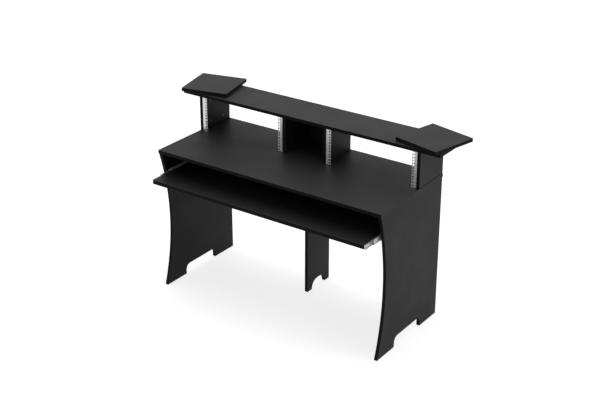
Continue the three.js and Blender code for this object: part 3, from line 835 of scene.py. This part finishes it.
class DESK_OT_dress_swivels(bpy.types.Operator):
    """Build the pivot bolts, nylon washers and felt pads of the speaker platforms"""
    bl_idname = "desk.dress_swivels"
    bl_label = "Platform swivels"

    # The bolt has a flange just under the monitor shelf, with a hexagon head below it.
    FLANGE_GAP = 0.3 * MM
    FLANGE_THICK = 1.5 * MM
    FLANGE_RADIUS = 9 * MM
    SHANK_RADIUS = 4 * MM
    HEAD_ACROSS_FLATS = 13 * MM
    # The bolt passes the washer with play.
    WASHER_BORE = 4.3 * MM

    def execute(self, context):
        zinc, nylon, felt = (finish_of(slot) for slot in ("zinc_plated_steel", "white_nylon", "grey_felt"))
        shelf_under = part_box("monitor_shelf")[0].z
        for side, _ in SIDES:
            node = f"pivot_bolt_{side}"
            low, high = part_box(node)
            axis = Vector(((low.x + high.x) / 2, (low.y + high.y) / 2, 0))
            flange_top = shelf_under - self.FLANGE_GAP
            flange_low = flange_top - self.FLANGE_THICK
            flange, shank = self.FLANGE_RADIUS, self.SHANK_RADIUS
            bolt = turned([
                (0, flange_low), (flange - 0.4 * MM, flange_low), (flange, flange_low + 0.4 * MM),
                (flange, flange_top - 0.3 * MM), (flange - 0.3 * MM, flange_top), (shank, flange_top),
                (shank, high.z - 1 * MM), (shank - 0.8 * MM, high.z), (0, high.z),
            ])
            head = bmesh.new()
            corner_radius = self.HEAD_ACROSS_FLATS / 2 / cos(pi / 6)
            bmesh.ops.create_circle(head, cap_ends=True, radius=corner_radius, segments=6)
            grown = bmesh.ops.extrude_face_region(head, geom=head.faces[:])["geom"]
            moved = [item for item in grown if isinstance(item, bmesh.types.BMVert)]
            bmesh.ops.translate(head, vec=(0, 0, flange_low - low.z), verts=moved)
            bmesh.ops.recalc_face_normals(head, faces=head.faces)
            rim = [edge for edge in head.edges if all(vert.co.z < SAME_POINT for vert in edge.verts)]
            round_edges(head, rim, 0.8 * MM)
            add_copy(bolt, head, Matrix.Translation((0, 0, low.z)))
            head.free()
            bmesh.ops.translate(bolt, vec=axis, verts=bolt.verts)
            finish_piece(bolt, f"{node}_flanged", BODY_OF[node], [zinc], [node])

            node = f"pivot_washer_{side}"
            low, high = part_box(node)
            outer = (high.x - low.x) / 2
            washer = turned([
                (self.WASHER_BORE, low.z), (outer - 0.3 * MM, low.z), (outer, low.z + 0.3 * MM),
                (outer, high.z - 0.3 * MM), (outer - 0.3 * MM, high.z), (self.WASHER_BORE, high.z),
            ], steps=40, closed=True)
            bmesh.ops.translate(washer, vec=axis, verts=washer.verts)
            finish_piece(washer, f"{node}_ring", BODY_OF[node], [nylon], [node])

            for place in ("front", "rear"):
                node = f"platform_pad_{side}_{place}"
                low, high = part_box(node)
                radius = (high.x - low.x) / 2
                pad = turned([
                    (0, low.z), (radius - 0.35 * MM, low.z), (radius, low.z + 0.35 * MM),
                    (radius, high.z - 0.1 * MM), (radius - 0.1 * MM, high.z), (0, high.z),
                ], steps=32)
                centre = ((low.x + high.x) / 2, (low.y + high.y) / 2, 0)
                bmesh.ops.translate(pad, vec=centre, verts=pad.verts)
                finish_piece(pad, f"{node}_disc", BODY_OF[node], [felt], [node])
        return {"FINISHED"}


class DESK_OT_dress_glides(bpy.types.Operator):
    """Build the round glides under the feet"""
    bl_idname = "desk.dress_glides"
    bl_label = "Glides"

    def execute(self, context):
        plastic = finish_of("black_plastic")
        for node in [name for name in NODES if name.startswith("glide_")]:
            low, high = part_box(node)
            radius = (high.x - low.x) / 2
            glide = turned([
                (0, low.z), (radius * 0.72, low.z), (radius * 0.9, low.z + 0.3 * MM),
                (radius, low.z + 0.9 * MM), (radius, high.z), (0, high.z),
            ])
            bmesh.ops.translate(glide, vec=((low.x + high.x) / 2, (low.y + high.y) / 2, 0), verts=glide.verts)
            finish_piece(glide, f"{node}_domed", BODY_OF[node], [plastic], [node])
        return {"FINISHED"}


class DESK_OT_set_stage(bpy.types.Operator):
    """Set the floor, the lamps, the surrounding light and the camera"""
    bl_idname = "desk.set_stage"
    bl_label = "Studio"

    # Each lamp has a place, the place that it looks at, its width and its radiance.
    LAMPS = (
        ("overhead_softbox", (-0.2, 0.3, 3.4), (0, 0, 0.7), 3.0, 2.1),
        ("right_softbox", (4.2, 0.6, 2.0), (0, 0, 0.6), 2.4, 1.4),
    )
    # The camera stands where the perspective of the photograph puts it.
    CAMERA_PLACE = (3.148, -4.4351, 3.0876)
    CAMERA_TURN = (radians(65.1), 0, radians(35.125))
    LENS, SENSOR_WIDTH = 72.92, 36
    # Distances from the middle of the floor between which it grows paler
    NEAR, FAR = 1.8, 5.0

    def execute(self, context):
        scene = context.scene
        studio = scene.desk_studio
        self.lay_floor(studio)
        self.set_world(scene, studio)
        for name, place, aim, span, level in self.LAMPS:
            lamp = bpy.data.lights.new(name, "AREA")
            lamp.shape = "SQUARE"
            lamp.size = span
            lamp.energy = level * pi * span ** 2
            holder = bpy.data.objects.new(name, lamp)
            holder.location = place
            holder.rotation_euler = (Vector(aim) - Vector(place)).to_track_quat("-Z", "Y").to_euler()
            scene.collection.objects.link(holder)
        view = bpy.data.cameras.new("camera")
        view.lens = self.LENS
        view.sensor_width = self.SENSOR_WIDTH
        camera = bpy.data.objects.new("camera", view)
        camera.location = self.CAMERA_PLACE
        camera.rotation_euler = self.CAMERA_TURN
        scene.collection.objects.link(camera)
        scene.camera = camera
        scene.view_settings.view_transform = "Standard"
        return {"FINISHED"}

    @staticmethod
    def seen_directly(tree, mirrored=1.0):
        """1 for rays from the camera and glass, a share for mirrors, and 0 for the light on the desk."""
        path = add_node(tree, "ShaderNodeLightPath").outputs
        seen = add_node(tree, "ShaderNodeMath", {"operation": "MULTIPLY"}, {
            0: path["Is Glossy Ray"], 1: mirrored}).outputs["Value"]
        for other in ("Is Camera Ray", "Is Transmission Ray"):
            seen = add_node(tree, "ShaderNodeMath", {"operation": "MAXIMUM"}, {0: seen, 1: path[other]})
            seen = seen.outputs["Value"]
        return seen

    def lay_floor(self, studio):
        bm = bmesh.new()
        bmesh.ops.create_grid(bm, x_segments=1, y_segments=1, size=studio.floor_span / 2)
        mesh = bpy.data.meshes.new("studio_floor")
        bm.to_mesh(mesh)
        bm.free()
        floor = bpy.data.objects.new("studio_floor", mesh)
        bpy.context.scene.collection.objects.link(floor)
        material = bpy.data.materials.new("studio_floor_paint")
        material.use_nodes = True
        tree = material.node_tree
        tree.nodes.clear()
        # The desk mirrors less of the lift than the camera sees, which keeps its feet a little darker.
        seen = self.seen_directly(tree, studio.floor_mirrored)
        # The floor grows paler away from the desk, so it meets the white backdrop without a line.
        place = add_node(tree, "ShaderNodeTexCoord").outputs["Object"]
        away = add_node(tree, "ShaderNodeVectorMath", {"operation": "LENGTH"}, {0: place}).outputs["Value"]
        level = add_node(tree, "ShaderNodeMapRange", inputs={
            "Value": away, "From Min": self.NEAR, "From Max": self.FAR,
            "To Min": studio.floor_lift, "To Max": studio.floor_lift_far}).outputs["Result"]
        lift = add_node(tree, "ShaderNodeMath", {"operation": "MULTIPLY"}, {
            0: seen, 1: level}).outputs["Value"]
        paint = add_node(tree, "ShaderNodeMix", {"data_type": "RGBA"}, {
            "Factor": seen, MIX_A: studio.floor, MIX_B: studio.floor_seen}).outputs[MIX_RESULT]
        finish_material(tree, {
            "Base Color": paint, "Roughness": 1.0, "Specular IOR Level": 0.0,
            "Emission Color": (1, 1, 1, 1), "Emission Strength": lift})
        mesh.materials.append(material)

    def set_world(self, scene, studio):
        world = bpy.data.worlds.new("studio_surroundings")
        world.use_nodes = True
        tree = world.node_tree
        tree.nodes.clear()
        light = add_node(tree, "ShaderNodeBackground", inputs={
            "Color": (1, 1, 1, 1), "Strength": studio.world_level}).outputs["Background"]
        backdrop = add_node(tree, "ShaderNodeBackground", inputs={
            "Color": (1, 1, 1, 1), "Strength": 1.0}).outputs["Background"]
        mixed = add_node(tree, "ShaderNodeMixShader", inputs={
            0: self.seen_directly(tree), 1: light, 2: backdrop}).outputs["Shader"]
        add_node(tree, "ShaderNodeOutputWorld", inputs={"Surface": mixed})
        scene.world = world


GROUPS = {
    "desk_boards": BoardLooks,
    "desk_metals": MetalLooks,
    "desk_small_parts": SmallPartLooks,
    "desk_hardware": HardwareSizes,
    "desk_studio": StudioLooks,
}
OPERATORS = (
    DESK_OT_set_stage, DESK_OT_finish_solids, DESK_OT_dress_boards, DESK_OT_dress_rails,
    DESK_OT_dress_slides, DESK_OT_dress_cages, DESK_OT_fit_caps, DESK_OT_dress_swivels,
    DESK_OT_dress_glides,
)


class DESK_PT_dressing(bpy.types.Panel):
    """The sizes, the colours and the pieces of the desk"""
    bl_idname = "DESK_PT_dressing"
    bl_label = "Studio desk"
    bl_space_type = "VIEW_3D"
    bl_region_type = "UI"
    bl_category = "Desk"

    def draw(self, context):
        for name, group in GROUPS.items():
            box = self.layout.box()
            for prop in group.__annotations__:
                box.prop(getattr(context.scene, name), prop)
        for operator in OPERATORS:
            self.layout.operator(operator.bl_idname)


def register():
    for cls in (*GROUPS.values(), *OPERATORS, DESK_PT_dressing):
        bpy.utils.register_class(cls)
    for name, group in GROUPS.items():
        setattr(bpy.types.Scene, name, PointerProperty(type=group))


def unregister():
    for name in GROUPS:
        delattr(bpy.types.Scene, name)
    for cls in (DESK_PT_dressing, *reversed(OPERATORS), *reversed(GROUPS.values())):
        bpy.utils.unregister_class(cls)


def main():
    register()
    bpy.ops.desk.set_stage()
    bpy.ops.desk.finish_solids()
    bpy.ops.desk.dress_boards()
    bpy.ops.desk.dress_rails()
    bpy.ops.desk.dress_slides()
    bpy.ops.desk.dress_cages()
    bpy.ops.desk.fit_caps()
    bpy.ops.desk.dress_swivels()
    bpy.ops.desk.dress_glides()


if __name__ == "__main__":
    main()
